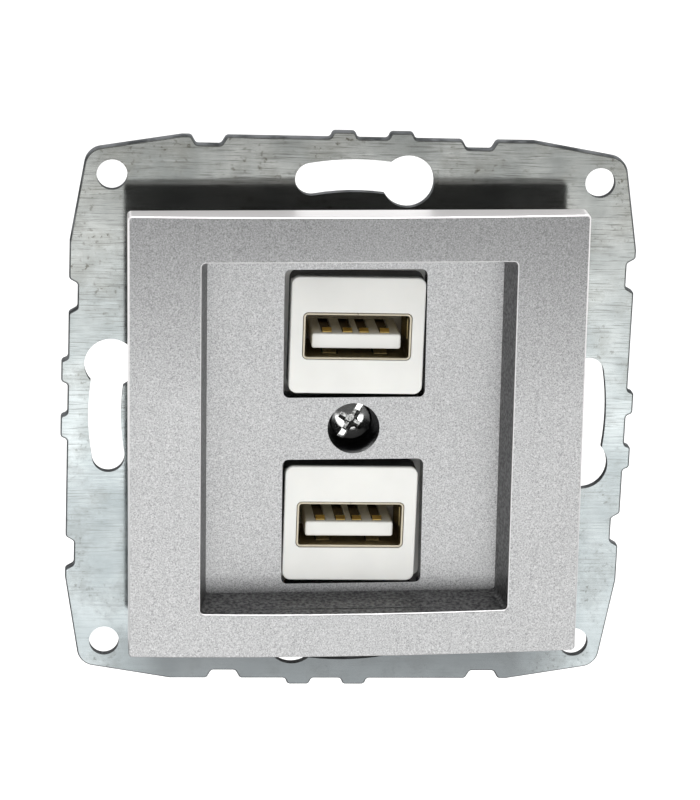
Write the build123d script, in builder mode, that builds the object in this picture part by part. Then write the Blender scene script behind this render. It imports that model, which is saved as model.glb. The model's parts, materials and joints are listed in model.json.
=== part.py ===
from build123d import *
import math
import os

# Flush-mounted double USB wall charger, in millimetres.
# X runs right, Z up and -Y out of the wall into the room. The origin is the centre of the
# support plate's rear face, the face that lies on the wall. A height is a distance in front of
# that face, and a depth is a distance behind it, inside the wall box.

# Support plate: the same four times over, turned about its centre by 90 degrees
PLATE_T = 1.2
PLATE_EDGE = 34.55
PLATE_FLAT = 21.3
PLATE_CORNER = 32.65
PLATE_CORNER_R = 2.3
PLATE_OPENING = 33.0
PLATE_OPENING_R = 5.0
BUMP_H = 0.8
BUMP_TOP = 2.7
BUMP_BASE = 3.3
BUMPS_AT = (-1.85, 5.15)
NOTCH_D = 1.05
NOTCH_MOUTH = 4.2
NOTCH_FLOOR = 3.0
NOTCHES_AT = (-18.1, 14.6)
EDGE_ROUND = 0.5
CORNER_HOLE_R = 1.85
CORNER_HOLE_PITCH = 59.2
BOX_SCREW_R = 30.0
SLOT_W = 4.0
SLOT_START = 100.8
KEYHOLE_ANGLE = 78.3
KEYHOLE_R = 3.2
SHEAR_R = 0.25

# Cover: a square cap with a hollow back, bulged a little about a vertical axis
COVER_W = 54.8
COVER_CORNER_R = 0.5
COVER_REAR = 8.6
COVER_SIDE_H = 11.7
COVER_MID_H = 12.7
COVER_WALL = 1.3
COVER_EDGE_R = 0.25
COVER_TURN = 1.16
FLOOR_H = 7.1
FLOOR_T = 1.4
FLOOR_X = 35.7
FLOOR_Z = 41.8
RECESS_DRAFT = 10.3
RECESS_CORNER_R = 0.5
RIM_R = 0.2
WINDOW_AT = 11.85
WINDOW_X = 17.2
WINDOW_Z = 15.9
WINDOW_R = 0.75
WINDOW_SLEEVE = 0.9
WINDOW_REAR = 4.2
SCREW_WELL_R = 3.175
SCREW_TUBE_R = 3.85
WELL_FLOOR_H = 2.2
WELL_FLOOR_T = 1.0
SCREW_PASS_R = 1.7

# Cover screw and the brass insert it runs in
HEAD_R = 2.6
HEAD_T = 1.55
HEAD_CROWN = 0.4
HEAD_RIM_R = 0.4
HEAD_GAP = 0.05
COVER_SHANK_R = 1.5
COVER_SHANK_END = 3.2
SLOT_CUT = 0.8
SLOT_DEPTH = 0.6
CROSS_CUT = 0.95
CROSS_LEN = 3.3
CROSS_DEPTH = 1.15
CROSS_DRAFT = 14.0
PIT_R = 0.85
SCREW_TURN = 60.0
INSERT_R = 2.1
INSERT_BORE_R = 1.55
INSERT_END = 4.0

# Two ports, one above the other: white bosses, with the sockets set a little low in them
BOSSES_AT = (11.65, -12.15)
SOCKETS_AT = {"upper": 11.55, "lower": -12.25}
BOSS_X = 16.2
BOSS_Z = 14.5
BOSS_R = 1.0
BOSS_H = 7.3
BOSS_FACE_T = 1.4
BOSS_WALL = 1.2

# Front housing: the white moulding in front of the plate
HOUSING_W = 41.0
HOUSING_R = 2.0
DECK_H = 3.4
CUP_R = 5.5
CUP_END = 5.0
CUP_POCKET_R = 4.1
CUP_FLOOR_H = 1.1
POST_R = 2.0
POST_X = 13.4
HOUSING_SCREW_AT = 17.6
HOUSING_SCREW_PASS_R = 1.35

# USB-A receptacle
SHELL_X = 13.1
SHELL_Z = 5.76
SHELL_T = 0.28
SHELL_R = 0.6
SHELL_LIP_R = 0.1
SHELL_END = 5.7
SHELL_GAP = 0.06
SEAM_W = 0.08
TAB_X = 3.1
TAB_W = 1.6
TAB_WINDOW_W = 1.84
SIDE_TAB_Z = 0.5
SIDE_TAB_W = 2.4
TAB_FRONT = -5.6
TAB_REAR = 0.4
TAB_DIP = 0.5
LEG_W = 1.5
LEG_END = 8.4
TONGUE_X = 10.8
TONGUE_T = 1.84
TONGUE_TOP = 0.08
TONGUE_FRONT = 6.3
BLOCK_FRONT = 1.0
CONTACTS_AT = (-3.5, -1.0, 1.0, 3.5)
CONTACT_W = 1.1
CONTACT_T = 0.25
CONTACT_GROOVE = 0.55
CONTACT_SLOT_W = 1.3
GROOVE_START = -5.7
CONTACT_LIFT = 0.3
CONTACT_TIP = -5.45
CONTACT_CREST = -4.95
CONTACT_ROOT = -3.2
CONTACT_END = 8.2

# Rear housing: the dark box behind the plate
REAR_WALL = 1.5
REAR_DEPTH = 32.0
REAR_EDGE_R = 0.9
SLOPE_START = 23.0
SLOPE_DROP = 2.4
SCREW_BOSS_R = 2.8
SCREW_BOSS_END = 14.0
LEDGE_X = 1.4
LEDGE_Z = 4.0
LEDGE_AT = 9.0
RIB_W = 1.2
RIB_OUT = 0.5
RIBS_AT = (-11.0, -3.7, 3.7, 11.0)
HOUSING_SHANK_R = 1.2
HOUSING_SHANK_END = 11.0
HOUSING_HEAD_R = 2.1
HOUSING_HEAD_T = 1.2

# Circuit boards and what stands on them
BOARD_W = 36.0
BOARD_CUT = 5.4
USB_BOARD_FRONT = 6.0
USB_BOARD_T = 1.2
POWER_BOARD_FRONT = 20.0
POWER_BOARD_T = 1.6
PIN_PITCH = 2.0
PIN_COUNT = 6
PIN_W = 0.6
PIN_Z = 16.3
STRIP_D = 2.0
TRANSFORMER_AT = (8.5, 6.0)
CORE_X = 16.0
CORE_Z = 8.0
CORE_Y = 11.4
CORE_LEG = 3.2
CORE_SIDE = 2.0
BOBBIN_GAP = 0.1
BOBBIN_T = 0.7
BOBBIN_FOOT = 0.8
RAIL_W = 2.2
BOBBIN_Z = 12.6
HV_CAPS_AT = {"upper": 10.5, "lower": 1.5}
HV_CAP_X = -12.5
HV_CAP_R = 4.0
HV_CAP_L = 11.5
OUTPUT_CAPS_AT = {"left": 6.5, "right": 13.2}
OUTPUT_CAP_Z = -6.0
OUTPUT_CAP_R = 3.15
OUTPUT_CAP_L = 10.5
PORT_CHIP = (5.0, 4.0, 1.5)
PORT_CHIP_X = 11.5
PORT_CHIP_Z = -10.0
POWER_CHIP = (6.0, 4.0, 1.6)
BRIDGE = (6.4, 4.0, 2.4)
OUTPUT_DIODE = (4.6, 3.0, 2.0)
CHOKE_AT = (-4.6, 11.4)
FUSE_AT = (-12.0, -9.0)
FUSE_R = 4.0
FUSE_L = 8.0
VARISTOR = (-1.6, -6.6, 3.6, 3.4)
SAFETY_CAPACITOR = (-4.2, 5.2, 3.2, 2.8)

# Rising-clamp mains terminals, at the bottom of the rear housing
TERMINAL_AT = {"left": -5.0, "right": 5.0}
BLOCK_X = 20.0
BLOCK_TOP = -7.0
BLOCK_BOTTOM = -19.0
TERMINAL_Y = 26.5
CAGE_X = 6.2
CAGE_Y = 5.0
CAGE_T = 0.7
CAGE_THREAD_T = 1.0
CAGE_BOTTOM = -14.4
CAGE_TOP = -8.2
TAB_BAR_X = 4.5
TAB_TAIL_X = 1.6
TAB_BAR_BOTTOM = -13.0
TAB_BAR_T = 1.0
TAB_BAR_END = 29.2
POCKET_GAP = 0.2
POCKET_TOP = -7.9
POCKET_BOTTOM = -17.2
CLAMP_HEAD_R = 2.4
CLAMP_HEAD_BOTTOM = -18.8
CLAMP_HEAD_T = 1.5
CLAMP_SHANK_R = 1.45
CLAMP_RUN = 0.05
WIRE_Z = -10.6
WIRE_R = 1.6
WIRE_FUNNEL_R = 1.8
DRIVER_HOLE_R = 2.0

os.makedirs("parts", exist_ok=True)


def wall(height):
    """Plane facing the room, this far in front of the wall."""
    return Plane.XZ.offset(height)


def finish(piece, label):
    """Name a finished piece and write it out."""
    piece.part.label = label
    export_step(piece.part, f"parts/{label}.step")


def box_between(low, high, mode=Mode.ADD):
    """A box from its lowest to its highest corner."""
    middle = [(a + b) / 2 for a, b in zip(low, high)]
    size = [b - a for a, b in zip(low, high)]
    with Locations(tuple(middle)):
        Box(*size, mode=mode)


def bulge(mid_height, half_width, sag):
    """Arc across the cover, highest in the middle, seen from above."""
    return ThreePointArc((-half_width, sag - mid_height), (0, -mid_height), (half_width, sag - mid_height))


# ---------------------------------------------------------------- support plate
def edge_feature(at, inner, outer, inner_level, outer_level):
    """Corners of a bump or notch on the top edge."""
    return [
        (at - inner / 2, inner_level),
        (at - outer / 2, outer_level),
        (at + outer / 2, outer_level),
        (at + inner / 2, inner_level),
    ]


slot_lines = [
    CenterArc((0, 0), BOX_SCREW_R, KEYHOLE_ANGLE + 90 * turn, SLOT_START - KEYHOLE_ANGLE) for turn in range(4)
]

with BuildPart() as support_plate:
    with BuildSketch(Plane.XZ) as plate_outline:
        with BuildLine():
            Polyline(
                (-PLATE_CORNER, PLATE_CORNER),
                (-PLATE_FLAT, PLATE_EDGE),
                (PLATE_FLAT, PLATE_EDGE),
                (PLATE_CORNER, PLATE_CORNER),
                (PLATE_EDGE, PLATE_FLAT),
                (PLATE_EDGE, -PLATE_FLAT),
                (PLATE_CORNER, -PLATE_CORNER),
                (PLATE_FLAT, -PLATE_EDGE),
                (-PLATE_FLAT, -PLATE_EDGE),
                (-PLATE_CORNER, -PLATE_CORNER),
                (-PLATE_EDGE, -PLATE_FLAT),
                (-PLATE_EDGE, PLATE_FLAT),
                close=True,
            )
        make_face()
        corners = plate_outline.vertices().filter_by(lambda v: abs(abs(v.X) - PLATE_CORNER) < 0.01)
        fillet(corners, PLATE_CORNER_R)
        with PolarLocations(0, 4):
            for at in BUMPS_AT:
                bump = edge_feature(at, BUMP_BASE, BUMP_TOP, PLATE_EDGE, PLATE_EDGE + BUMP_H)
                Polygon(*bump, align=None)
            for at in NOTCHES_AT:
                notch = edge_feature(at, NOTCH_FLOOR, NOTCH_MOUTH, PLATE_EDGE - NOTCH_D, PLATE_EDGE)
                Polygon(*notch, align=None, mode=Mode.SUBTRACT)
        small = plate_outline.vertices().filter_by(
            lambda v: min(abs(v.X), abs(v.Y)) < PLATE_FLAT - 0.5 and max(abs(v.X), abs(v.Y)) > PLATE_CORNER
        )
        fillet(small, EDGE_ROUND)
        with GridLocations(CORNER_HOLE_PITCH, CORNER_HOLE_PITCH, 2, 2):
            Circle(CORNER_HOLE_R, mode=Mode.SUBTRACT)
        for slot_line in slot_lines:
            keyhole = slot_line @ 0
            SlotArc(slot_line, SLOT_W, mode=Mode.SUBTRACT)
            with Locations((keyhole.X, keyhole.Y)):
                Circle(KEYHOLE_R, mode=Mode.SUBTRACT)
        RectangleRounded(PLATE_OPENING, PLATE_OPENING, PLATE_OPENING_R, mode=Mode.SUBTRACT)
        with GridLocations(2 * HOUSING_SCREW_AT, 2 * HOUSING_SCREW_AT, 2, 2):
            Circle(HOUSING_SCREW_PASS_R, mode=Mode.SUBTRACT)
    extrude(amount=PLATE_T)
    front_rim = support_plate.faces().sort_by(Axis.Y)[0].outer_wire().edges()
    fillet(front_rim, SHEAR_R)
finish(support_plate, "support_plate")

# ---------------------------------------------------------------- cover
half_cover = COVER_W / 2
side_sag = COVER_MID_H - COVER_SIDE_H
tall = COVER_MID_H - COVER_REAR + 1

with BuildPart() as cover_inside:
    with BuildSketch(wall(COVER_REAR - 1)):
        Rectangle(COVER_W - 2 * COVER_WALL, COVER_W - 2 * COVER_WALL)
    extrude(amount=tall + 1)
    with BuildSketch(Plane.XY):
        with BuildLine():
            inner_arc = bulge(COVER_MID_H - COVER_WALL, half_cover, side_sag)
            Polyline(inner_arc @ 1, (half_cover, 0), (-half_cover, 0), inner_arc @ 0)
        make_face()
    extrude(amount=COVER_W, both=True, mode=Mode.INTERSECT)

# The sunk field, with drafted sides and crisp corners
with BuildPart() as recess:
    with BuildSketch(wall(FLOOR_H)):
        Rectangle(FLOOR_X, FLOOR_Z)
    extrude(amount=COVER_MID_H, taper=-RECESS_DRAFT)
    upright = recess.edges().filter_by(lambda e: abs((e % 0.5).Y) > 0.5)
    fillet(upright, RECESS_CORNER_R)

with BuildPart() as cover:
    with BuildSketch(wall(COVER_REAR)):
        RectangleRounded(COVER_W, COVER_W, COVER_CORNER_R)
    extrude(amount=tall)
    with BuildSketch(Plane.XY):
        with BuildLine():
            outer_arc = bulge(COVER_MID_H, half_cover, side_sag)
            Polyline(outer_arc @ 1, (half_cover, 0), (-half_cover, 0), outer_arc @ 0)
        make_face()
    extrude(amount=COVER_W, both=True, mode=Mode.INTERSECT)
    front_face = cover.faces().sort_by(Axis.Y)[0]
    fillet(front_face.outer_wire().edges(), COVER_EDGE_R)
    add(cover_inside.part, mode=Mode.SUBTRACT)
    # Solid walls around the recess, the two windows and the screw well
    with BuildSketch(wall(FLOOR_H - FLOOR_T)):
        RectangleRounded(FLOOR_X + 2 * COVER_WALL, FLOOR_Z + 2 * COVER_WALL, RECESS_CORNER_R + COVER_WALL)
    extrude(amount=COVER_SIDE_H - 0.6 - FLOOR_H + FLOOR_T, taper=-RECESS_DRAFT)
    with BuildSketch(wall(WINDOW_REAR)):
        with GridLocations(0, 2 * WINDOW_AT, 1, 2):
            RectangleRounded(WINDOW_X + 2 * WINDOW_SLEEVE, WINDOW_Z + 2 * WINDOW_SLEEVE, WINDOW_R)
    extrude(amount=FLOOR_H - WINDOW_REAR)
    with BuildSketch(wall(WELL_FLOOR_H - WELL_FLOOR_T)):
        Circle(SCREW_TUBE_R)
    extrude(amount=FLOOR_H - WELL_FLOOR_H + WELL_FLOOR_T)
    add(recess.part, mode=Mode.SUBTRACT)
    rim = cover.faces().filter_by(GeomType.CYLINDER).sort_by(Axis.Y)[0].inner_wires()[0].edges()
    fillet(rim, RIM_R)
    # Windows for the bosses
    with BuildSketch(wall(0)):
        with GridLocations(0, 2 * WINDOW_AT, 1, 2):
            RectangleRounded(WINDOW_X, WINDOW_Z, WINDOW_R)
    extrude(amount=COVER_MID_H, mode=Mode.SUBTRACT)
    # Screw well
    with BuildSketch(wall(WELL_FLOOR_H)):
        Circle(SCREW_WELL_R)
    extrude(amount=COVER_MID_H, mode=Mode.SUBTRACT)
    with BuildSketch(wall(0)):
        Circle(SCREW_PASS_R)
    extrude(amount=COVER_MID_H, mode=Mode.SUBTRACT)
# It hangs on its one screw, turned until the windows nearly meet the bosses
cover.part = cover.part.rotate(Axis.Y, -COVER_TURN)
finish(cover, "cover")

# ---------------------------------------------------------------- cover screw and insert
head_bottom = WELL_FLOOR_H + HEAD_GAP
head_top = head_bottom + HEAD_T

crown_r = (HEAD_R**2 + HEAD_CROWN**2) / (2 * HEAD_CROWN)
crown_drop = crown_r - math.sqrt(crown_r**2 - (HEAD_R / 2) ** 2)

with BuildPart() as cover_screw:
    with BuildSketch(Plane.XY):
        with BuildLine():
            crown = ThreePointArc(
                (0, -head_top), (HEAD_R / 2, crown_drop - head_top), (HEAD_R, HEAD_CROWN - head_top)
            )
            Polyline(
                crown @ 1,
                (HEAD_R, -head_bottom),
                (COVER_SHANK_R, -head_bottom),
                (COVER_SHANK_R, COVER_SHANK_END - 0.4),
                (COVER_SHANK_R - 0.3, COVER_SHANK_END),
                (0, COVER_SHANK_END),
                crown @ 0,
            )
        make_face()
    revolve(axis=Axis.Y)
    rings = cover_screw.edges().filter_by(GeomType.CIRCLE)
    head_rim = rings.filter_by(lambda e: abs(e.radius - HEAD_R) < 0.01).sort_by(Axis.Y)[0]
    fillet(head_rim, HEAD_RIM_R)
    with BuildSketch(wall(head_top)):
        Rectangle(4 * HEAD_R, SLOT_CUT, rotation=SCREW_TURN)
    extrude(amount=-SLOT_DEPTH, mode=Mode.SUBTRACT)
    with BuildSketch(wall(head_top)):
        for turn in (SCREW_TURN, SCREW_TURN + 90):
            Rectangle(CROSS_LEN, CROSS_CUT, rotation=turn)
    extrude(amount=-CROSS_DEPTH, taper=CROSS_DRAFT, mode=Mode.SUBTRACT)
    with BuildSketch(wall(head_top)):
        Circle(PIT_R)
    extrude(amount=-CROSS_DEPTH - 0.3, taper=CROSS_DRAFT, mode=Mode.SUBTRACT)
finish(cover_screw, "cover_screw")

with BuildPart() as screw_insert:
    with BuildSketch(wall(CUP_FLOOR_H - 0.05)):
        Circle(INSERT_R)
        Circle(INSERT_BORE_R, mode=Mode.SUBTRACT)
    extrude(amount=-(INSERT_END + CUP_FLOOR_H - 0.05))
    groove_middle = (CUP_FLOOR_H - INSERT_END) / 2
    with BuildSketch(wall(groove_middle)):
        Circle(INSERT_R + 0.1)
        Circle(INSERT_R - 0.3, mode=Mode.SUBTRACT)
    extrude(amount=0.6, both=True, mode=Mode.SUBTRACT)
finish(screw_insert, "screw_insert")

# ---------------------------------------------------------------- front housing
boss_places = [(0, z) for z in BOSSES_AT]
socket_places = [(0, z) for z in SOCKETS_AT.values()]

with BuildPart() as front_housing:
    with BuildSketch(wall(PLATE_T)):
        RectangleRounded(HOUSING_W, HOUSING_W, HOUSING_R)
    extrude(amount=DECK_H - PLATE_T)
    with BuildSketch(wall(DECK_H)):
        with Locations(*boss_places):
            RectangleRounded(BOSS_X, BOSS_Z, BOSS_R)
    extrude(amount=BOSS_H - DECK_H)
    boss_fronts = front_housing.faces().filter_by(Axis.Y).group_by(Axis.Y)[0]
    fillet(boss_fronts.edges(), 0.2)
    # Cup for the brass insert, and two posts that hold the front board
    with BuildSketch(wall(DECK_H)):
        Circle(CUP_R)
        with GridLocations(2 * POST_X, 0, 2, 1):
            Circle(POST_R)
    extrude(amount=-(DECK_H + CUP_END))
    with BuildSketch(wall(-CUP_END)):
        with GridLocations(2 * POST_X, 0, 2, 1):
            Circle(POST_R)
    extrude(amount=-(USB_BOARD_FRONT - CUP_END))
    # Hollow bosses, with a port opening in each face
    with BuildSketch(wall(BOSS_H - BOSS_FACE_T)):
        with Locations(*boss_places):
            Rectangle(BOSS_X - 2 * BOSS_WALL, BOSS_Z - 2 * BOSS_WALL)
    extrude(amount=-(BOSS_H - BOSS_FACE_T - PLATE_T), mode=Mode.SUBTRACT)
    with BuildSketch(wall(BOSS_H)):
        with Locations(*socket_places):
            RectangleRounded(SHELL_X + 2 * SHELL_GAP, SHELL_Z + 2 * SHELL_GAP, SHELL_R + SHELL_GAP)
    extrude(amount=-(BOSS_FACE_T + 0.5), mode=Mode.SUBTRACT)
    # Pocket that the cover's screw well drops into, and the insert's seat below it
    with BuildSketch(wall(CUP_FLOOR_H)):
        Circle(CUP_POCKET_R)
    extrude(amount=BOSS_H, mode=Mode.SUBTRACT)
    with BuildSketch(wall(-CUP_END)):
        Circle(INSERT_BORE_R + 0.1)
    extrude(amount=CUP_END + BOSS_H, mode=Mode.SUBTRACT)
    with BuildSketch(wall(-INSERT_END)):
        Circle(INSERT_R + 0.02)
    extrude(amount=INSERT_END + BOSS_H, mode=Mode.SUBTRACT)
    with BuildSketch(wall(0)):
        with GridLocations(2 * HOUSING_SCREW_AT, 2 * HOUSING_SCREW_AT, 2, 2):
            Circle(HOUSING_SCREW_PASS_R)
    extrude(amount=DECK_H + 1, mode=Mode.SUBTRACT)
finish(front_housing, "front_housing")

# ---------------------------------------------------------------- rear housing
inside = HOUSING_W / 2 - REAR_WALL
back_wall = REAR_DEPTH - REAR_WALL

def above_slope(thickness):
    """Wedge above the sloping end of the housing's top wall, at this depth under its surface."""
    slope = SLOPE_DROP / (REAR_DEPTH - SLOPE_START)
    high = HOUSING_W / 2 - thickness
    edge = [(SLOPE_START - 9, high + 9 * slope), (REAR_DEPTH + 9, high - SLOPE_DROP - 9 * slope)]
    with BuildPart() as wedge:
        with BuildSketch(Plane.YZ):
            Polygon(*edge, (REAR_DEPTH + 9, HOUSING_W), (SLOPE_START - 9, HOUSING_W), align=None)
        extrude(amount=HOUSING_W, both=True)
    return wedge.part


with BuildPart() as rear_space:
    with BuildSketch(wall(0)):
        RectangleRounded(2 * inside, 2 * inside, HOUSING_R - 1)
    extrude(amount=-back_wall)
    add(above_slope(REAR_WALL), mode=Mode.SUBTRACT)

with BuildPart() as rear_housing:
    with BuildSketch(wall(0)):
        RectangleRounded(HOUSING_W, HOUSING_W, HOUSING_R)
    extrude(amount=-REAR_DEPTH)
    back_rim = rear_housing.faces().sort_by(Axis.Y)[-1].edges()
    fillet(back_rim, REAR_EDGE_R)
    # Grip ribs down the four sides
    with BuildSketch(wall(-3)):
        with PolarLocations(0, 4):
            for at in RIBS_AT:
                with Locations((at, HOUSING_W / 2)):
                    Rectangle(RIB_W, 2 * RIB_OUT)
    extrude(amount=-(REAR_DEPTH - 6))
    add(above_slope(0), mode=Mode.SUBTRACT)
    add(rear_space.part, mode=Mode.SUBTRACT)
    # Screw bosses in the corners, and ledges under the power board
    with BuildSketch(wall(0)):
        with GridLocations(2 * HOUSING_SCREW_AT, 2 * HOUSING_SCREW_AT, 2, 2):
            Circle(SCREW_BOSS_R)
    extrude(amount=-SCREW_BOSS_END)
    with BuildSketch(wall(-POWER_BOARD_FRONT - POWER_BOARD_T)):
        with GridLocations(2 * inside - LEDGE_X, 2 * LEDGE_AT, 2, 2):
            Rectangle(LEDGE_X, LEDGE_Z)
    extrude(amount=-(back_wall - POWER_BOARD_FRONT - POWER_BOARD_T))
    with BuildSketch(wall(1)):
        with GridLocations(2 * HOUSING_SCREW_AT, 2 * HOUSING_SCREW_AT, 2, 2):
            Circle(HOUSING_SHANK_R + 0.04)
    extrude(amount=-(HOUSING_SHANK_END + 2), mode=Mode.SUBTRACT)
    # Wire entries at the back, and screwdriver holes underneath
    for x in TERMINAL_AT.values():
        with Locations((x, REAR_DEPTH, WIRE_Z)):
            with Locations(Rotation(90, 0, 0)):
                Cylinder(WIRE_FUNNEL_R, 2 * REAR_WALL + 1, mode=Mode.SUBTRACT)
        with Locations((x, TERMINAL_Y, -HOUSING_W / 2)):
            Cylinder(DRIVER_HOLE_R, 2 * REAR_WALL + 1, mode=Mode.SUBTRACT)
finish(rear_housing, "rear_housing")

with BuildPart() as housing_screws:
    with BuildSketch(wall(DECK_H)):
        with GridLocations(2 * HOUSING_SCREW_AT, 2 * HOUSING_SCREW_AT, 2, 2):
            Circle(HOUSING_SHANK_R)
    extrude(amount=-(DECK_H + HOUSING_SHANK_END))
    with BuildSketch(wall(DECK_H)):
        with GridLocations(2 * HOUSING_SCREW_AT, 2 * HOUSING_SCREW_AT, 2, 2):
            Circle(HOUSING_HEAD_R)
    extrude(amount=HOUSING_HEAD_T)
    head_rims = housing_screws.faces().group_by(Axis.Y)[0].edges()
    fillet(head_rims, 0.4)
    with BuildSketch(wall(DECK_H + HOUSING_HEAD_T)):
        with GridLocations(2 * HOUSING_SCREW_AT, 2 * HOUSING_SCREW_AT, 2, 2):
            Rectangle(2.2, 0.5)
            Rectangle(0.5, 2.2)
    extrude(amount=-0.7, mode=Mode.SUBTRACT)
finish(housing_screws, "housing_screws")


# ---------------------------------------------------------------- USB-A receptacles
def tab_profile(wall_level, inward):
    """Side view of a shell spring: rooted in the shell wall at the back, bent inwards."""
    return [
        (TAB_REAR + 0.2, wall_level),
        (TAB_FRONT + 2.2, wall_level + inward * TAB_DIP),
        (TAB_FRONT + 0.4, wall_level + inward * 0.1),
    ]


def usb_shell(z):
    """Folded steel sleeve with a seam on top, four springs and two solder legs."""
    with BuildPart() as shell:
        with BuildSketch(wall(BOSS_H)):
            with Locations((0, z)):
                RectangleRounded(SHELL_X, SHELL_Z, SHELL_R)
                inner_x = SHELL_X - 2 * SHELL_T
                inner_z = SHELL_Z - 2 * SHELL_T
                RectangleRounded(inner_x, inner_z, SHELL_R - SHELL_T, mode=Mode.SUBTRACT)
        extrude(amount=-(BOSS_H + SHELL_END))
        fillet(shell.faces().sort_by(Axis.Y)[0].edges(), SHELL_LIP_R)
        seam_top = z + SHELL_Z / 2
        seam_low = (-SEAM_W / 2, -BOSS_H - 1, seam_top - 2 * SHELL_T)
        box_between(seam_low, (SEAM_W / 2, SHELL_END + 1, seam_top + 1), Mode.SUBTRACT)
        for side in (1, -1):
            level = z + side * (SHELL_Z / 2 - SHELL_T / 2)
            for x in (-TAB_X, TAB_X):
                box_between(
                    (x - TAB_WINDOW_W / 2, TAB_FRONT, level - 0.3),
                    (x + TAB_WINDOW_W / 2, TAB_REAR, level + 0.3),
                    Mode.SUBTRACT,
                )
                with BuildSketch(Plane.YZ.offset(x - TAB_W / 2)):
                    with BuildLine():
                        Polyline(*tab_profile(level, -side))
                        offset(amount=0.11, side=Side.BOTH, kind=Kind.INTERSECTION)
                    make_face()
                extrude(amount=TAB_W)
        # One more spring and a solder leg on each side
        for side in (1, -1):
            x = side * (SHELL_X / 2 - SHELL_T / 2)
            low_z = z + SIDE_TAB_Z - SIDE_TAB_W / 2
            box_between(
                (x - 0.3, TAB_FRONT, low_z - 0.12),
                (x + 0.3, TAB_REAR, low_z + SIDE_TAB_W + 0.12),
                Mode.SUBTRACT,
            )
            with BuildSketch(Plane.XY.offset(low_z)):
                with BuildLine():
                    Polyline(*[(level, y) for y, level in tab_profile(x, -side)])
                    offset(amount=0.11, side=Side.BOTH, kind=Kind.INTERSECTION)
                make_face()
            extrude(amount=SIDE_TAB_W)
            leg_low = (x - SHELL_T / 2, SHELL_END - 0.5, z - LEG_W / 2)
            box_between(leg_low, (x + SHELL_T / 2, LEG_END, z + LEG_W / 2))
    return shell


def usb_insulator(z):
    """Moulded tongue with four grooves in its upper side, and the block behind it."""
    top = z + TONGUE_TOP
    with BuildPart() as insulator:
        box_between((-TONGUE_X / 2, -TONGUE_FRONT, top - TONGUE_T), (TONGUE_X / 2, BLOCK_FRONT, top))
        tongue_sides = insulator.edges().filter_by(Axis.Y)
        fillet(tongue_sides, 0.3)
        nose = insulator.faces().sort_by(Axis.Y)[0].edges()
        fillet(nose, 0.2)
        half_x = SHELL_X / 2 - SHELL_T - 0.05
        half_z = SHELL_Z / 2 - SHELL_T - 0.05
        box_between((-half_x, BLOCK_FRONT, z - half_z), (half_x, SHELL_END, z + half_z))
        edges = insulator.edges().filter_by(Axis.Y).group_by(lambda e: abs(e.center().X))[-1]
        fillet(edges, 0.4)
        for x in CONTACTS_AT:
            low = (x - CONTACT_SLOT_W / 2, GROOVE_START, top - CONTACT_GROOVE)
            high = (x + CONTACT_SLOT_W / 2, SHELL_END + 1, top)
            box_between(low, high, Mode.SUBTRACT)
    return insulator


def usb_contacts(z):
    """Four sprung strips that lie in the grooves and run back through the board."""
    top = z + TONGUE_TOP
    rest = top - CONTACT_GROOVE + 0.03 + CONTACT_T / 2
    with BuildPart() as contacts:
        for x in CONTACTS_AT:
            with BuildSketch(Plane.YZ.offset(x - CONTACT_W / 2)):
                with BuildLine():
                    Polyline(
                        (CONTACT_TIP, top),
                        (CONTACT_CREST, top + CONTACT_LIFT),
                        (CONTACT_ROOT, rest),
                        (CONTACT_END, rest),
                    )
                    offset(amount=CONTACT_T / 2, side=Side.BOTH, kind=Kind.INTERSECTION)
                make_face()
            extrude(amount=CONTACT_W)
    return contacts


for name, z in SOCKETS_AT.items():
    finish(usb_shell(z), f"{name}_usb_shell")
    finish(usb_insulator(z), f"{name}_usb_insulator")
    finish(usb_contacts(z), f"{name}_usb_contacts")


# ---------------------------------------------------------------- circuit boards
def pin_places():
    """Where the pins between the two boards stand."""
    return GridLocations(PIN_PITCH, 0, PIN_COUNT, 1)


with BuildPart() as usb_board:
    with BuildSketch(wall(-USB_BOARD_FRONT)) as usb_outline:
        Rectangle(BOARD_W, BOARD_W)
        chamfer(usb_outline.vertices(), BOARD_CUT)
        for z in SOCKETS_AT.values():
            with Locations((0, z)):
                with GridLocations(SHELL_X - SHELL_T, 0, 2, 1):
                    Rectangle(SHELL_T + 0.3, LEG_W + 0.3, mode=Mode.SUBTRACT)
            contact_z = z + TONGUE_TOP - CONTACT_GROOVE + 0.03 + CONTACT_T / 2
            with Locations(*[(x, contact_z) for x in CONTACTS_AT]):
                Rectangle(CONTACT_W + 0.2, CONTACT_T + 0.3, mode=Mode.SUBTRACT)
        with Locations((0, PIN_Z)):
            with pin_places():
                Circle(PIN_W / 2 + 0.2, mode=Mode.SUBTRACT)
    extrude(amount=-USB_BOARD_T)
finish(usb_board, "usb_board")

with BuildPart() as power_board:
    with BuildSketch(wall(-POWER_BOARD_FRONT)) as power_outline:
        Rectangle(BOARD_W, BOARD_W)
        chamfer(power_outline.vertices(), BOARD_CUT)
        with Locations(*[(x, TAB_BAR_BOTTOM + TAB_BAR_T / 2) for x in TERMINAL_AT.values()]):
            Rectangle(TAB_TAIL_X + 0.2, TAB_BAR_T + 0.2, mode=Mode.SUBTRACT)
        with Locations((0, PIN_Z)):
            with pin_places():
                Circle(PIN_W / 2 + 0.2, mode=Mode.SUBTRACT)
    extrude(amount=-POWER_BOARD_T)
finish(power_board, "power_board")

with BuildPart() as board_pins:
    with BuildSketch(wall(-USB_BOARD_FRONT + 0.8)):
        with Locations((0, PIN_Z)):
            with pin_places():
                Rectangle(PIN_W, PIN_W)
    extrude(amount=-(POWER_BOARD_FRONT + POWER_BOARD_T + 1.6 - USB_BOARD_FRONT))
finish(board_pins, "board_pins")

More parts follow.
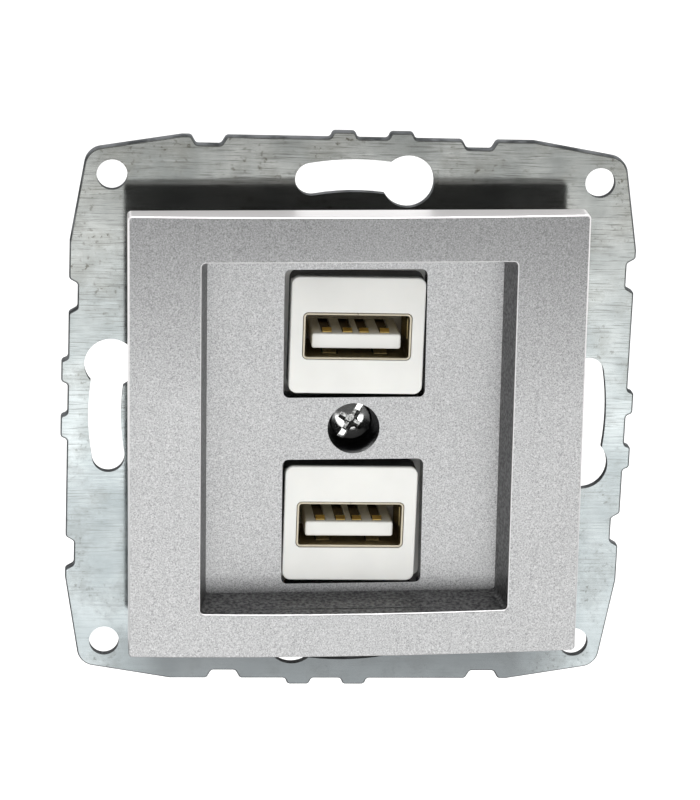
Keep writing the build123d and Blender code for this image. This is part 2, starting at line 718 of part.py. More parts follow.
with BuildPart() as pin_strips:
    strip_fronts = (USB_BOARD_FRONT + USB_BOARD_T, POWER_BOARD_FRONT - STRIP_D)
    for front in strip_fronts:
        with BuildSketch(wall(-front)):
            with Locations((0, PIN_Z)):
                Rectangle(PIN_COUNT * PIN_PITCH, STRIP_D)
                with pin_places():
                    Rectangle(PIN_W + 0.02, PIN_W + 0.02, mode=Mode.SUBTRACT)
        extrude(amount=-STRIP_D)
finish(pin_strips, "pin_strips")


# ---------------------------------------------------------------- parts on the boards
def chip(x, z, face, size, toward_room=True):
    """Moulded chip with gull-wing leads on two sides, standing on a board face."""
    long_x, long_z, tall_y = size
    way = -1 if toward_room else 1
    with BuildPart() as body:
        base = face + way * 0.1
        with BuildSketch(Plane.XZ.offset(-base)):
            with Locations((x, z)):
                Rectangle(long_x, long_z)
        extrude(amount=-way * tall_y, taper=4)
        lead_level = face + way * 0.15
        for side in (1, -1):
            for step in (-1.5, -0.5, 0.5, 1.5):
                lead_x = x + step * long_x / 4.4
                lead_z = z + side * (long_z / 2 + 0.3)
                with Locations((lead_x, lead_level, lead_z)):
                    Box(0.4, 0.3, 1.4)
    return body


def can_capacitor(x, z, radius, length):
    """Electrolytic can standing on the power board, with its crimp groove and vented end."""
    base = POWER_BOARD_FRONT
    tip = base - length
    with BuildPart() as can:
        with BuildSketch(Plane.XY):
            with BuildLine():
                Polyline(
                    (0, base),
                    (radius, base),
                    (radius, base - 1.2),
                    (radius - 0.4, base - 1.7),
                    (radius, base - 2.2),
                    (radius, tip + 0.4),
                    (radius - 0.4, tip),
                    (radius - 0.9, tip),
                    (radius - 1.0, tip + 0.2),
                    (0, tip + 0.2),
                    close=True,
                )
            make_face()
        revolve(axis=Axis.Y)
        vent = (0, tip + 0.2, 0)
        with Locations(vent):
            Box(radius, 0.3, 0.25, mode=Mode.SUBTRACT)
            Box(0.25, 0.3, radius, mode=Mode.SUBTRACT)
    can.part = can.part.moved(Location((x, 0, z)))
    return can


for name, z in HV_CAPS_AT.items():
    finish(can_capacitor(HV_CAP_X, z, HV_CAP_R, HV_CAP_L), f"mains_capacitor_{name}")
for name, x in OUTPUT_CAPS_AT.items():
    finish(can_capacitor(x, OUTPUT_CAP_Z, OUTPUT_CAP_R, OUTPUT_CAP_L), f"output_capacitor_{name}")
board_back = USB_BOARD_FRONT + USB_BOARD_T
for name, x in (("left", -PORT_CHIP_X), ("right", PORT_CHIP_X)):
    port_chip = chip(x, PORT_CHIP_Z, board_back, PORT_CHIP, toward_room=False)
    finish(port_chip, f"port_controller_{name}")
power_back = POWER_BOARD_FRONT + POWER_BOARD_T
finish(chip(0, 6, power_back, POWER_CHIP, toward_room=False), "power_controller")
finish(chip(-4, -0.5, POWER_BOARD_FRONT, BRIDGE, toward_room=True), "bridge_rectifier")
finish(chip(11, -13.2, POWER_BOARD_FRONT, OUTPUT_DIODE, toward_room=True), "output_rectifier")

core_x, core_z = TRANSFORMER_AT
core_top = POWER_BOARD_FRONT - BOBBIN_FOOT - CORE_Y

with BuildPart() as transformer_core:
    # Two E halves meet as one closed figure of eight round the winding's middle leg
    with BuildSketch(wall(-core_top)):
        with Locations((core_x, core_z)):
            Rectangle(CORE_X, CORE_Z)
    extrude(amount=-CORE_Y)
    window_x = (CORE_X - 2 * CORE_SIDE - CORE_LEG) / 2
    for side in (1, -1):
        x = core_x + side * (CORE_LEG + window_x) / 2
        box_between(
            (x - window_x / 2, core_top + CORE_SIDE, core_z - CORE_Z),
            (x + window_x / 2, core_top + CORE_Y - CORE_SIDE, core_z + CORE_Z),
            Mode.SUBTRACT,
        )
    fillet(transformer_core.edges().filter_by(Axis.Z).group_by(SortBy.DISTANCE)[-1], 0.3)
finish(transformer_core, "transformer_core")

coil_x = CORE_LEG + 2 * window_x - 2 * BOBBIN_GAP
bobbin_front = core_top + CORE_SIDE + BOBBIN_GAP
bobbin_back = core_top + CORE_Y - CORE_SIDE - BOBBIN_GAP

with BuildPart() as transformer_bobbin:
    for front in (bobbin_front, bobbin_back - BOBBIN_T):
        with BuildSketch(wall(-front)):
            with Locations((core_x, core_z)):
                Rectangle(coil_x, BOBBIN_Z)
        extrude(amount=-BOBBIN_T)
    with BuildSketch(wall(-bobbin_front)):
        with Locations((core_x, core_z)):
            Rectangle(CORE_LEG + 2 * BOBBIN_GAP + 2 * BOBBIN_T, CORE_Z + 2 * BOBBIN_GAP + 2 * BOBBIN_T)
    extrude(amount=-(bobbin_back - bobbin_front))
    with BuildSketch(wall(-bobbin_front + 1)):
        with Locations((core_x, core_z)):
            Rectangle(CORE_LEG + 2 * BOBBIN_GAP, CORE_Z + 2 * BOBBIN_GAP)
    extrude(amount=-(bobbin_back - bobbin_front + 2), mode=Mode.SUBTRACT)
    for side in (1, -1):
        rail_z = core_z + side * (BOBBIN_Z / 2 - RAIL_W / 2)
        box_between(
            (core_x - coil_x / 2, bobbin_back - BOBBIN_T, rail_z - RAIL_W / 2),
            (core_x + coil_x / 2, POWER_BOARD_FRONT - 0.3, rail_z + RAIL_W / 2),
        )
finish(transformer_bobbin, "transformer_bobbin")

with BuildPart() as transformer_winding:
    with BuildSketch(wall(-bobbin_front - BOBBIN_T)):
        with Locations((core_x, core_z)):
            hollow_x = CORE_LEG + 2 * BOBBIN_GAP + 2 * BOBBIN_T
            hollow_z = CORE_Z + 2 * BOBBIN_GAP + 2 * BOBBIN_T
            RectangleRounded(coil_x - 0.4, BOBBIN_Z - 0.8, 1.2)
            Rectangle(hollow_x, hollow_z, mode=Mode.SUBTRACT)
    extrude(amount=-(bobbin_back - bobbin_front - 2 * BOBBIN_T))
finish(transformer_winding, "transformer_winding")

with BuildPart() as filter_choke:
    with BuildSketch(Plane.XY):
        with BuildLine():
            Polyline(
                (0, POWER_BOARD_FRONT),
                (3.0, POWER_BOARD_FRONT),
                (3.0, POWER_BOARD_FRONT - 1.0),
                (2.6, POWER_BOARD_FRONT - 1.2),
                (2.6, POWER_BOARD_FRONT - 6.8),
                (3.0, POWER_BOARD_FRONT - 7.0),
                (3.0, POWER_BOARD_FRONT - 8.0),
                (0, POWER_BOARD_FRONT - 8.0),
                close=True,
            )
        make_face()
    revolve(axis=Axis.Y)
filter_choke.part = filter_choke.part.moved(Location((CHOKE_AT[0], 0, CHOKE_AT[1])))
finish(filter_choke, "filter_choke")

with BuildPart() as fuse:
    with BuildSketch(wall(-POWER_BOARD_FRONT)):
        with Locations(FUSE_AT):
            Circle(FUSE_R)
    extrude(amount=FUSE_L)
    fillet(fuse.edges().filter_by(GeomType.CIRCLE).sort_by(Axis.Y)[0], 0.5)
finish(fuse, "fuse")


def disc_part(x, z, radius, thickness):
    """Dipped disc standing on edge on the power board."""
    with BuildPart() as disc:
        with BuildSketch(Plane.XY.offset(z - thickness / 2)):
            with Locations((x, POWER_BOARD_FRONT - 1.0 - radius)):
                Circle(radius)
            with Locations((x, POWER_BOARD_FRONT - 1.0)):
                Rectangle(radius, 2.0)
        extrude(amount=thickness)
        rims = disc.edges().filter_by(GeomType.CIRCLE)
        fillet(rims, thickness * 0.3)
    return disc


finish(disc_part(*VARISTOR), "varistor")
finish(disc_part(*SAFETY_CAPACITOR), "safety_capacitor")

# ---------------------------------------------------------------- mains terminals
with BuildPart() as terminal_block:
    box_between(
        (-BLOCK_X / 2, POWER_BOARD_FRONT + POWER_BOARD_T, BLOCK_BOTTOM), (BLOCK_X / 2, back_wall, BLOCK_TOP)
    )
    for x in TERMINAL_AT.values():
        half_x = CAGE_X / 2 + POCKET_GAP
        half_y = CAGE_Y / 2 + POCKET_GAP
        box_between(
            (x - half_x, TERMINAL_Y - half_y, POCKET_BOTTOM),
            (x + half_x, TERMINAL_Y + half_y, POCKET_TOP),
            Mode.SUBTRACT,
        )
        # Slot that the brass bar slides in through, wire way, and screw bore
        bar_x = TAB_BAR_X / 2 + 0.02
        bar_low = TAB_BAR_BOTTOM - 0.02
        bar_high = TAB_BAR_BOTTOM + TAB_BAR_T + 0.02
        box_between((x - bar_x, 0, bar_low), (x + bar_x, TAB_BAR_END + 0.1, bar_high), Mode.SUBTRACT)
        with Locations((x, back_wall, WIRE_Z)):
            with Locations(Rotation(90, 0, 0)):
                Cylinder(WIRE_R, 4, mode=Mode.SUBTRACT)
        with Locations((x, TERMINAL_Y, BLOCK_BOTTOM)):
            Cylinder(CLAMP_HEAD_R + 0.1, 4, mode=Mode.SUBTRACT)
finish(terminal_block, "terminal_block")


def terminal_tab(x):
    """Brass bar that the wire is clamped against, with a tail through the power board."""
    top = TAB_BAR_BOTTOM + TAB_BAR_T
    with BuildPart() as tab:
        front = POWER_BOARD_FRONT + POWER_BOARD_T
        box_between((x - TAB_BAR_X / 2, front, TAB_BAR_BOTTOM), (x + TAB_BAR_X / 2, TAB_BAR_END, top))
        tail = (x - TAB_TAIL_X / 2, POWER_BOARD_FRONT - 1, TAB_BAR_BOTTOM)
        box_between(tail, (x + TAB_TAIL_X / 2, front, top))
        fillet(tab.edges().filter_by(Axis.X).sort_by(Axis.Y)[-2:], 0.2)
    return tab


def terminal_cage(x):
    """Square ring round the bar: the screw draws it down and it lifts no wire back out."""
    with BuildPart() as cage:
        low_y = TERMINAL_Y - CAGE_Y / 2
        high_y = TERMINAL_Y + CAGE_Y / 2
        box_between((x - CAGE_X / 2, low_y, CAGE_BOTTOM), (x + CAGE_X / 2, high_y, CAGE_TOP))
        box_between(
            (x - CAGE_X / 2 + CAGE_T, low_y - 1, CAGE_BOTTOM + CAGE_THREAD_T),
            (x + CAGE_X / 2 - CAGE_T, high_y + 1, CAGE_TOP - CAGE_THREAD_T),
            Mode.SUBTRACT,
        )
        with Locations((x, TERMINAL_Y, CAGE_BOTTOM)):
            Cylinder(CLAMP_SHANK_R + CLAMP_RUN, 3 * CAGE_THREAD_T - 0.5, mode=Mode.SUBTRACT)
        fillet(cage.edges().filter_by(Axis.Y).group_by(lambda e: round(abs(e.center().X - x), 2))[-1], 0.4)
    return cage


def terminal_screw(x):
    """Slotted cheese-head screw, held under the block with its head facing down."""
    head_face = CLAMP_HEAD_BOTTOM + CLAMP_HEAD_T
    tip = TAB_BAR_BOTTOM - 0.1
    with BuildPart() as screw:
        with BuildSketch(Plane.XY.offset(CLAMP_HEAD_BOTTOM)):
            with Locations((x, TERMINAL_Y)):
                Circle(CLAMP_HEAD_R)
        extrude(amount=CLAMP_HEAD_T)
        fillet(screw.edges().sort_by(Axis.Z)[0], 0.3)
        with BuildSketch(Plane.XY.offset(head_face)):
            with Locations((x, TERMINAL_Y)):
                Circle(CLAMP_SHANK_R)
        extrude(amount=tip - head_face)
        chamfer(screw.edges().sort_by(Axis.Z)[-1], 0.25)
        with Locations((x, TERMINAL_Y, CLAMP_HEAD_BOTTOM)):
            Box(3 * CLAMP_HEAD_R, 0.7, 1.4, mode=Mode.SUBTRACT)
    return screw


for name, x in TERMINAL_AT.items():
    finish(terminal_tab(x), f"terminal_tab_{name}")
    finish(terminal_cage(x), f"terminal_cage_{name}")
    finish(terminal_screw(x), f"terminal_screw_{name}")
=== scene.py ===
import bpy
import json
import math
from mathutils import Matrix, Vector

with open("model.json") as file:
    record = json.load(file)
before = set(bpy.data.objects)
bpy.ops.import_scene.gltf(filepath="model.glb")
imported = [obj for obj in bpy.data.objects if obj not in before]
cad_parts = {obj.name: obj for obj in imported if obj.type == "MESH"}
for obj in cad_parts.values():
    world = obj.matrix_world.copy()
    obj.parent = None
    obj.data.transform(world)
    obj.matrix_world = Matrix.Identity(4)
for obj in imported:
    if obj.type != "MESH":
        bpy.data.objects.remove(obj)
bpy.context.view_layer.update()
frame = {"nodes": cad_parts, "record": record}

MM = 0.001

# Places on the charger in mm, as heights in front of the wall and reaches from the middle.
SCREW_RECESS_LEVEL = 3.55
SCREW_RECESS_R = 1.45
# Heights in mm where the contacts' painted shade is full and where their bright tips begin.
CONTACT_DARK, CONTACT_TIP = 4.6, 4.85
# Heights in mm where the painted shade on the boss sides is full and where it ends.
BOSS_DARK, BOSS_UNSHADED = 5.2, 6.0
BOSS_TOP_EXTRA = 1.1
SHELL_DARK, SHELL_LIP = 7.05, 7.25
COVER_FLOOR = 7.1
COVER_INNER_SKIRT = 24.0
COVER_OUTER_RIM = 26.3
COVER_BOTTOM_RIM = -26.2
COVER_BOTTOM_SIDE = -26.6
RECESS_FOOT = -20.8
PLATE_BOTTOM = -35.3

# How deep the finest texture of metal is, in metres.
FINE_DEPTH = 0.000008


# ---------------------------------------------------------------- shader helpers
class Shader:
    """One node material, with short calls for the nodes that the materials here share."""

    def __init__(self, name):
        self.material = bpy.data.materials.new(name)
        self.material.use_nodes = True
        self.tree = self.material.node_tree
        self.bsdf = self.tree.nodes["Principled BSDF"]
        self.place = self.tree.nodes.new("ShaderNodeTexCoord").outputs["Object"]
        self.normal = self.tree.nodes.new("ShaderNodeTexCoord").outputs["Normal"]

    def node(self, kind, **values):
        """A node with its sockets or properties set, or linked where the value is a socket."""
        made = self.tree.nodes.new(kind)
        for key, value in values.items():
            if hasattr(made, key):
                setattr(made, key, value)
            else:
                self.feed(made.inputs[key.replace("_", " ")], value)
        return made

    def feed(self, socket, value):
        if isinstance(value, bpy.types.NodeSocket):
            self.tree.links.new(value, socket)
        else:
            socket.default_value = value

    def set(self, **values):
        for key, value in values.items():
            self.feed(self.bsdf.inputs[key.replace("_", " ")], value)

    def stretched(self, x, y, z):
        """The object's own coordinates, scaled along each axis."""
        made = self.node("ShaderNodeMapping", Vector=self.place, Scale=(x, y, z))
        return made.outputs["Vector"]

    def noise(self, scale, detail, vector=None, rough=0.5):
        made = self.node(
            "ShaderNodeTexNoise",
            Vector=vector or self.place, Scale=scale, Detail=detail, Roughness=rough,
        )
        return made.outputs["Fac"]

    def cells(self, scale):
        """Cells with a random colour each."""
        return self.node("ShaderNodeTexVoronoi", Vector=self.place, Scale=scale).outputs["Color"]

    def span(self, value, low, high, to_low, to_high):
        """value moved from one range to another, and held inside it."""
        made = self.node("ShaderNodeMapRange", Value=value)
        for index, number in enumerate((low, high, to_low, to_high), 1):
            self.feed(made.inputs[index], number)
        return made.outputs["Result"]

    def math(self, operation, *values):
        made = self.node("ShaderNodeMath", operation=operation)
        for socket, value in zip(made.inputs, values):
            self.feed(socket, value)
        return made.outputs["Value"]

    def grey(self, level, shade):
        """Grey of this level, darkened by a factor that varies over the surface."""
        made = self.node("ShaderNodeCombineColor")
        for socket in made.inputs[:3]:
            self.feed(socket, self.product(shade, level))
        return made.outputs["Color"]

    def mix(self, factor, first, second):
        """Colour between two colours."""
        made = self.node("ShaderNodeMix", data_type="RGBA")
        self.feed(made.inputs["Factor"], factor)
        self.feed(made.inputs[6], first)
        self.feed(made.inputs[7], second)
        return made.outputs[2]

    def blend(self, factor, first, second):
        """Number between two numbers."""
        made = self.node("ShaderNodeMix", data_type="FLOAT")
        for index, value in ((0, factor), (2, first), (3, second)):
            self.feed(made.inputs[index], value)
        return made.outputs[0]

    def product(self, first, second):
        return self.math("MULTIPLY", first, second)

    def inverse(self, value):
        return self.math("SUBTRACT", 1.0, value)

    def height(self):
        """Distance in mm in front of the wall."""
        return self.product(self.part(self.place, "Y"), -1 / MM)

    def level(self):
        """Distance in mm above the middle."""
        return self.product(self.part(self.place, "Z"), 1 / MM)

    def aside(self):
        """Distance in mm to the left or right of the middle."""
        return self.product(self.math("ABSOLUTE", self.part(self.place, "X")), 1 / MM)

    def reach(self):
        """Distance in mm from the middle, along X or Z, whichever is larger."""
        return self.math("MAXIMUM", self.aside(), self.reach_up())

    def radius(self):
        """Distance in mm from the middle, in the XZ plane."""
        squares = [self.math("POWER", side, 2.0) for side in (self.aside(), self.reach_up())]
        return self.math("SQRT", self.math("ADD", *squares))

    def reach_up(self):
        """Distance in mm above or below the middle."""
        return self.math("ABSOLUTE", self.level())

    def flatness(self):
        """1 on faces parallel to the wall, 0 on faces square to it."""
        return self.math("ABSOLUTE", self.part(self.normal, "Y"))

    def leaning(self):
        """Positive where the surface faces away from the middle, seen from the front."""
        across = self.product(self.part(self.place, "X"), self.part(self.normal, "X"))
        upward = self.product(self.part(self.place, "Z"), self.part(self.normal, "Z"))
        return self.math("ADD", across, upward)

    def outward(self, beyond):
        """0 on surfaces that face the middle from further out than this, 1 elsewhere."""
        inward = self.span(self.leaning(), -0.012, -0.004, 1.0, 0.0)
        far = self.span(self.reach(), beyond - 0.1, beyond, 0.0, 1.0)
        return self.inverse(self.product(inward, far))

    def outer_side(self, beyond):
        """1 on surfaces that face away from the middle, further out than this."""
        away = self.span(self.leaning(), 0.004, 0.012, 0.0, 1.0)
        return self.product(away, self.span(self.reach(), beyond - 0.1, beyond, 0.0, 1.0))

    def part(self, vector, axis):
        made = self.node("ShaderNodeSeparateXYZ", Vector=vector)
        return made.outputs[axis]

    def bump(self, height, strength, distance):
        made = self.node("ShaderNodeBump", Height=height, Strength=strength, Distance=distance)
        self.feed(self.bsdf.inputs["Normal"], made.outputs["Normal"])


def rgb(red, green, blue):
    return (red, green, blue, 1.0)


# ---------------------------------------------------------------- materials
def zinc_steel():
    """Zinc-plated sheet: rolling lines along X, cloudy lustre, specks and grime, dark sheared edges."""
    s = Shader("zinc_steel")
    lines = s.noise(1.0, 4.0, s.stretched(150, 300, 3400), 0.7)
    scratches = s.noise(1.0, 3.0, s.stretched(260, 300, 7500), 0.6)
    cloud = s.noise(110, 4.0, rough=0.6)
    blotch = s.noise(420, 4.0)
    speck = s.span(s.noise(2100, 3.0), 0.60, 0.68, 0.0, 1.0)
    grime = s.span(s.noise(230, 5.0, rough=0.7), 0.47, 0.66, 0.0, 1.0)

    # Painted shade: the sheet is darker towards its top, and more worn there.
    rise = s.span(s.level(), -26.0, 26.0, 0.0, 1.0)
    shade = s.mix(rise, rgb(0.40, 0.45, 0.46), rgb(0.15, 0.158, 0.150))
    bright = s.mix(rise, rgb(0.54, 0.59, 0.60), rgb(0.27, 0.275, 0.26))
    tone = s.mix(s.span(cloud, 0.35, 0.65, 0.0, 1.0), shade, bright)
    lined = s.mix(s.span(lines, 0.35, 0.68, 0.0, s.blend(rise, 0.15, 0.35)), tone, rgb(0.17, 0.175, 0.17))
    worn = s.product(s.span(scratches, 0.54, 0.66, 0.0, 0.75), s.blend(rise, 0.2, 1.0))
    scored = s.mix(worn, lined, rgb(0.09, 0.092, 0.085))
    lit = s.mix(s.span(lines, 0.42, 0.30, 0.0, 0.12), scored, rgb(0.50, 0.53, 0.54))
    spotted = s.product(s.product(speck, grime), s.blend(rise, 0.5, 1.0))
    dimmed = s.mix(spotted, lit, rgb(0.05, 0.045, 0.035))
    smudged = s.mix(s.product(grime, 0.30), dimmed, rgb(0.11, 0.105, 0.085))

    # Painted shadow on the strip below the cover.
    below = s.span(s.level(), -30.0, -27.0, 1.0, 0.0)
    depth = s.span(s.level(), PLATE_BOTTOM, -28.5, 0.72, 0.97)
    middle = s.span(s.aside(), 22.0, 31.0, 1.0, 0.0)
    shaded = s.mix(s.product(s.product(below, depth), middle), smudged, rgb(0.14, 0.15, 0.155))

    edge = s.span(s.flatness(), 0.88, 0.985, 1.0, 0.0)
    sheared = s.mix(s.span(blotch, 0.4, 0.6, 0.0, 1.0), rgb(0.03, 0.033, 0.035), rgb(0.11, 0.115, 0.12))
    rough = s.math("ADD", s.span(lines, 0.3, 0.7, 0.07, 0.11), s.span(blotch, 0.4, 0.7, 0.0, 0.05))
    s.set(Base_Color=s.mix(edge, shaded, sheared), Metallic=s.blend(edge, 0.82, 0.0))
    s.set(Roughness=s.blend(edge, rough, 0.6), Specular_IOR_Level=s.blend(edge, 0.5, 0.1))
    s.bump(lines, 0.2, 0.00001)
    return s.material


def silver_cover():
    """Black gloss moulding, sprayed from the front with silver flake paint that hardly covers steep walls."""
    s = Shader("silver_cover")
    flake = s.span(s.noise(5600, 2.0, rough=0.6), 0.30, 0.70, 0.0, 1.0)
    fleck = s.part(s.cells(9000), "Y")
    grain = s.math("ADD", s.product(flake, 0.6), s.product(fleck, 0.4))
    cloud = s.noise(70, 2.0)
    spray = s.noise(2600, 3.0)
    height = s.height()
    flatness = s.flatness()

    # Where paint reached the moulding.
    above_floor = s.span(height, COVER_FLOOR - 0.08, COVER_FLOOR - 0.02, 0.0, 1.0)
    not_rear = s.span(s.part(s.normal, "Y"), 0.0, 0.3, 1.0, 0.0)
    painted = s.product(s.product(above_floor, not_rear), s.outward(COVER_INNER_SKIRT))

    # Painted shade, darker towards the top of the front, and painted shadow at the foot of the sunk field.
    rise = s.span(s.level(), 4.0, 26.0, 0.0, 1.0)
    raised = s.span(height, COVER_FLOOR + 1.0, COVER_FLOOR + 3.0, 0.0, 1.0)
    foot = s.span(s.level(), RECESS_FOOT, RECESS_FOOT + 2.2, 0.62, 1.0)
    on_floor = s.math("MAXIMUM", foot, s.span(height, COVER_FLOOR, COVER_FLOOR + 0.1, 0.0, 1.0))
    top_shade = s.inverse(s.product(s.product(rise, raised), 0.38))
    shade = s.product(top_shade, on_floor)
    silver = s.mix(grain, s.grey(0.21, shade), s.grey(0.64, shade))
    thin = s.mix(s.span(spray, 0.35, 0.65, 0.0, 1.0), rgb(0.05, 0.05, 0.052), rgb(0.19, 0.19, 0.19))
    facing = s.span(s.part(s.normal, "Y"), -0.80, -0.35, 1.0, 0.0)
    flat = s.mix(facing, thin, silver)

    # Outer sides with a painted sheen that fades downwards, and painted shade on the lower edge.
    bottom = s.span(s.level(), COVER_BOTTOM_SIDE, COVER_BOTTOM_SIDE + 1.0, 1.0, 0.0)
    side = s.product(s.outer_side(COVER_INNER_SKIRT), s.inverse(bottom))
    fade = s.span(s.level(), -20.0, 20.0, 0.0, 1.0)
    sheen = s.mix(fade, rgb(0.40, 0.40, 0.40), rgb(0.80, 0.78, 0.78))
    sided = s.mix(side, flat, sheen)

    # Painted highlight on the rounded rims.
    outer = s.span(s.reach(), COVER_OUTER_RIM - 0.3, COVER_OUTER_RIM, 0.0, 1.0)
    flush = s.span(flatness, s.blend(outer, 0.90, 0.55), s.blend(outer, 0.975, 0.80), 1.0, 0.0)
    edge = s.product(s.span(flatness, 0.28, 0.45, 0.0, 1.0), flush)
    strength = s.blend(outer, 0.75, 0.3)
    upper = s.span(s.level(), COVER_BOTTOM_RIM, COVER_BOTTOM_RIM + 1.0, 0.0, strength)
    on_top = s.span(height, COVER_FLOOR + 0.5, COVER_FLOOR + 1.0, 0.0, 1.0)
    rim_highlight = s.product(s.product(edge, on_top), upper)
    # Painted shade on the lower outer edge.
    lower = s.mix(s.product(bottom, edge), sided, rgb(0.10, 0.10, 0.10))
    coat = s.mix(rim_highlight, lower, rgb(0.86, 0.85, 0.85))

    rough = s.math("ADD", s.span(grain, 0.0, 1.0, 0.34, 0.44), s.span(cloud, 0.3, 0.7, 0.0, 0.03))
    gloss = s.span(spray, 0.3, 0.7, 0.14, 0.22)
    s.set(Base_Color=s.mix(painted, rgb(0.006, 0.006, 0.007), coat))
    s.set(Metallic=s.product(painted, s.blend(side, 0.9, 0.55)))
    s.set(Roughness=s.blend(painted, gloss, s.blend(side, rough, 0.3)), Specular_IOR_Level=0.3)
    s.bump(s.product(grain, painted), 0.35, 0.00002)
    return s.material


def moulded(name, colour, roughness, grain=5000, depth=0.00001):
    """Moulded plastic with a fine texture and a little unevenness in tone."""
    s = Shader(name)
    fine = s.noise(grain, 3.0)
    cloud = s.noise(180, 2.0)
    dark = rgb(*[c * 0.93 for c in colour])
    tone = s.mix(s.span(cloud, 0.3, 0.7, 0, 1), dark, rgb(*colour))
    s.set(Base_Color=tone, Roughness=s.span(fine, 0.3, 0.7, roughness - 0.05, roughness + 0.05))
    s.bump(fine, 0.2, depth)
    return s.material


def boss_plastic():
    """White moulding, with painted shade deep in the gaps beside the cover's windows."""
    s = Shader("boss_plastic")
    fine = s.noise(5000, 3.0)
    side = s.span(s.flatness(), 0.3, 0.7, 1.0, 0.0)
    lowered = s.math("SUBTRACT", s.height(), s.span(s.part(s.normal, "Z"), 0.3, 0.7, 0.0, BOSS_TOP_EXTRA))
    deep = s.product(side, s.span(lowered, BOSS_DARK, BOSS_UNSHADED, 1.0, 0.0))
    cloud = s.span(s.noise(180, 2.0), 0.3, 0.7, 0.0, 1.0)
    white = s.mix(cloud, rgb(0.78, 0.778, 0.745), rgb(0.84, 0.838, 0.80))
    s.set(Base_Color=s.mix(deep, white, rgb(0.012, 0.011, 0.010)))
    s.set(Specular_IOR_Level=s.blend(deep, 0.5, 0.1))
    s.set(Roughness=s.span(fine, 0.3, 0.7, 0.37, 0.47), Subsurface_Weight=0.1)
    s.bsdf.inputs["Subsurface Radius"].default_value = (0.001, 0.0008, 0.0006)
    s.bump(fine, 0.2, 0.00001)
    return s.material


def metal(name, colour, roughness):
    """Plated or bare metal with fine scratches and cloudy lustre."""
    s = Shader(name)
    fine = s.noise(4000, 3.0)
    cloud = s.noise(500, 2.0)
    dark = rgb(*[c * 0.82 for c in colour])
    tone = s.mix(s.span(cloud, 0.3, 0.7, 0, 1), dark, rgb(*colour))
    s.set(Base_Color=tone, Metallic=1.0)
    s.set(Roughness=s.span(fine, 0.3, 0.7, roughness - 0.05, roughness + 0.07))
    s.bump(fine, 0.2, FINE_DEPTH)
    return s.material


def screw_head():
    """Bright zinc, with painted shade in the driver recess."""
    s = Shader("screw_head")
    fine = s.noise(4000, 3.0)
    sunk = s.span(s.height(), SCREW_RECESS_LEVEL - 0.12, SCREW_RECESS_LEVEL, 1.0, 0.0)
    inside = s.product(s.span(s.radius(), SCREW_RECESS_R - 0.15, SCREW_RECESS_R, 1.0, 0.0), sunk)
    bright = s.mix(s.span(fine, 0.3, 0.7, 0, 1), rgb(0.60, 0.60, 0.59), rgb(0.74, 0.74, 0.73))
    shaded = s.mix(s.span(fine, 0.35, 0.65, 0, 1), rgb(0.05, 0.05, 0.048), rgb(0.34, 0.34, 0.33))
    s.set(Base_Color=s.mix(inside, bright, shaded), Metallic=1.0)
    s.set(Roughness=s.span(fine, 0.3, 0.7, 0.07, 0.16))
    s.bump(fine, 0.2, FINE_DEPTH)
    return s.material


def darkening(name, lip, inside, roughness, dark_at, bright_at):
    """Metal that is bright towards the room and darker further in, at heights in mm; on the gold contacts the
    darker part is painted shade.
    """
    s = Shader(name)
    fine = s.noise(3000, 3.0)
    front = s.span(s.height(), dark_at, bright_at, 0.0, 1.0)
    dimmed = s.mix(s.span(fine, 0.3, 0.7, 0, 1), rgb(*[c * 0.6 for c in inside]), rgb(*inside))
    s.set(Base_Color=s.mix(front, dimmed, rgb(*lip)), Metallic=1.0)
    s.set(Roughness=s.span(fine, 0.3, 0.7, roughness - 0.05, roughness + 0.08))
    s.bump(fine, 0.2, FINE_DEPTH)
    return s.material


MATERIALS = {
    "zinc_steel": zinc_steel(),
    "silver_cover": silver_cover(),
    "bright_zinc": metal("bright_zinc", (0.66, 0.66, 0.65), 0.10),
    "cage_steel": metal("cage_steel", (0.62, 0.62, 0.60), 0.3),
    "white_plastic": boss_plastic(),
    "grey_plastic": moulded("grey_plastic", (0.045, 0.047, 0.05), 0.5, 2500, 0.00003),
    "brass": metal("brass", (0.78, 0.58, 0.27), 0.25),
    "shell_steel": darkening(
        "shell_steel", (0.46, 0.42, 0.33), (0.42, 0.33, 0.16), 0.34, SHELL_DARK, SHELL_LIP,
    ),
    "tongue_plastic": moulded("tongue_plastic", (0.88, 0.88, 0.84), 0.4),
    # The contacts carry painted shade further in, where they lie in shadow.
    "gold_contact": darkening(
        "gold_contact", (0.98, 0.74, 0.27), (0.22, 0.15, 0.06), 0.36, CONTACT_DARK, CONTACT_TIP,
    ),
    "board_green": moulded("board_green", (0.02, 0.16, 0.06), 0.35),
    "black_mould": moulded("black_mould", (0.02, 0.02, 0.022), 0.5),
    "ferrite": moulded("ferrite", (0.06, 0.06, 0.065), 0.6, 3000, 0.00003),
    "winding_tape": moulded("winding_tape", (0.72, 0.52, 0.05), 0.25),
    "can_sleeve": moulded("can_sleeve", (0.02, 0.02, 0.035), 0.22),
    "disc_coat": moulded("disc_coat", (0.05, 0.14, 0.42), 0.3),
    "block_plastic": moulded("block_plastic", (0.42, 0.43, 0.43), 0.45),
}

for entry in frame["record"]["subparts"]:
    node = frame["nodes"][entry["node"]]
    node.data.materials.clear()
    node.data.materials.append(MATERIALS[entry["material_slot"]])
frame["nodes"]["cover_screw"].data.materials[0] = screw_head()


# ---------------------------------------------------------------- floor, light and camera
FLOOR_LEVEL = -0.16
CARD_AT = (0, -1.7, 0.30)


def stage_material(name, grey, glow):
    """Matt grey that may glow a little."""
    s = Shader(name)
    s.set(Base_Color=rgb(grey, grey, grey), Roughness=0.9)
    s.set(Emission_Color=rgb(1, 1, 1), Emission_Strength=glow)
    return s.material


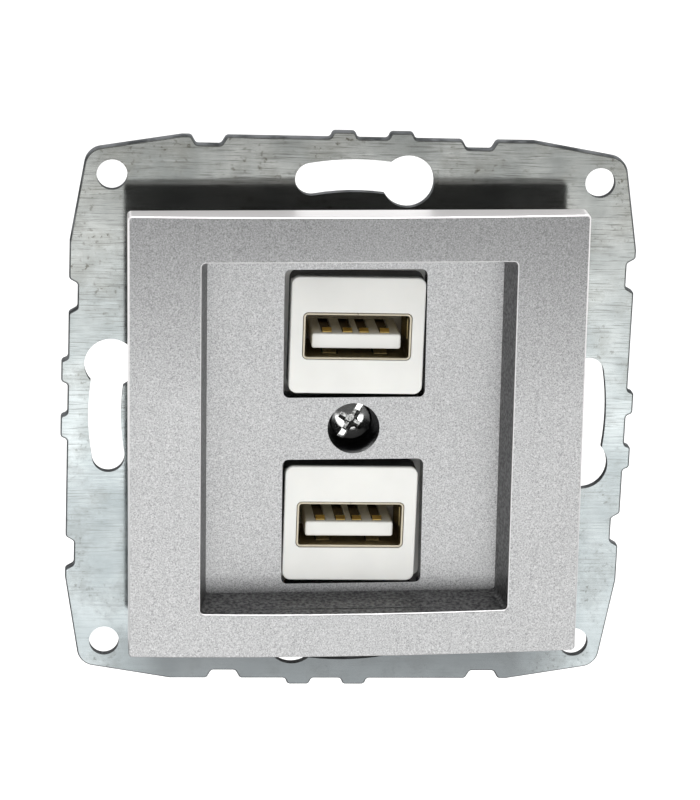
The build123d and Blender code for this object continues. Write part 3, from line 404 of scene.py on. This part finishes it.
def plane(name, size_x, size_y, where, tilt, material):
    """Flat sheet of the stage, turned about X by tilt degrees."""
    mesh = bpy.data.meshes.new(name)
    x, y = size_x / 2, size_y / 2
    mesh.from_pydata([(-x, -y, 0), (x, -y, 0), (x, y, 0), (-x, y, 0)], [], [(0, 1, 2, 3)])
    made = bpy.data.objects.new(name, mesh)
    bpy.context.scene.collection.objects.link(made)
    made.location = where
    made.rotation_euler = (math.radians(tilt), 0, 0)
    made.data.materials.append(material)


plane("floor", 8.0, 8.0, (0, 0, FLOOR_LEVEL), 0, stage_material("pale_floor", 0.85, 0.25))
plane("grey_card", 3.6, 0.9, CARD_AT, -90, stage_material("grey_card", 0.10, 0.0))


def area_light(name, where, aim, size, power, colour=(1, 1, 1)):
    """Soft rectangular light aimed at a point."""
    lamp = bpy.data.lights.new(name, "AREA")
    lamp.shape = "RECTANGLE"
    lamp.size, lamp.size_y = size
    lamp.energy = power
    lamp.color = colour
    made = bpy.data.objects.new(name, lamp)
    bpy.context.scene.collection.objects.link(made)
    made.location = where
    made.rotation_euler = (Vector(aim) - Vector(where)).to_track_quat("-Z", "Y").to_euler()


area_light("top_soft", (0.1, -0.15, 0.9), (0, 0, 0), (0.7, 0.5), 6)
area_light("front_low", (-0.05, -0.5, -0.13), (0, 0, 0.02), (0.7, 0.12), 0.4, (0.96, 0.98, 1.0))

world = bpy.data.worlds.new("studio")
bpy.context.scene.world = world
world.use_nodes = True
world.node_tree.nodes["Background"].inputs["Color"].default_value = rgb(1, 1, 1)
world.node_tree.nodes["Background"].inputs["Strength"].default_value = 1.0

# Close to the front, a little from the left and from above.
CAMERA_AT = Vector((-39.247, -377.416, 108.037)) * MM
CAMERA_RIGHT = Vector((0.994930, -0.093392, 0.037308))
CAMERA_UP = Vector((-0.010495, 0.272525, 0.962091))

camera_data = bpy.data.cameras.new("camera")
camera_data.lens = 143.83
camera_data.sensor_width = 36
camera_data.clip_start = 0.01
camera = bpy.data.objects.new("camera", camera_data)
bpy.context.scene.collection.objects.link(camera)
axes = (CAMERA_RIGHT, CAMERA_UP, CAMERA_RIGHT.cross(CAMERA_UP))
camera.matrix_world = Matrix.Translation(CAMERA_AT) @ Matrix(axes).transposed().to_4x4()
bpy.context.scene.camera = camera
bpy.context.scene.view_settings.view_transform = "Standard"
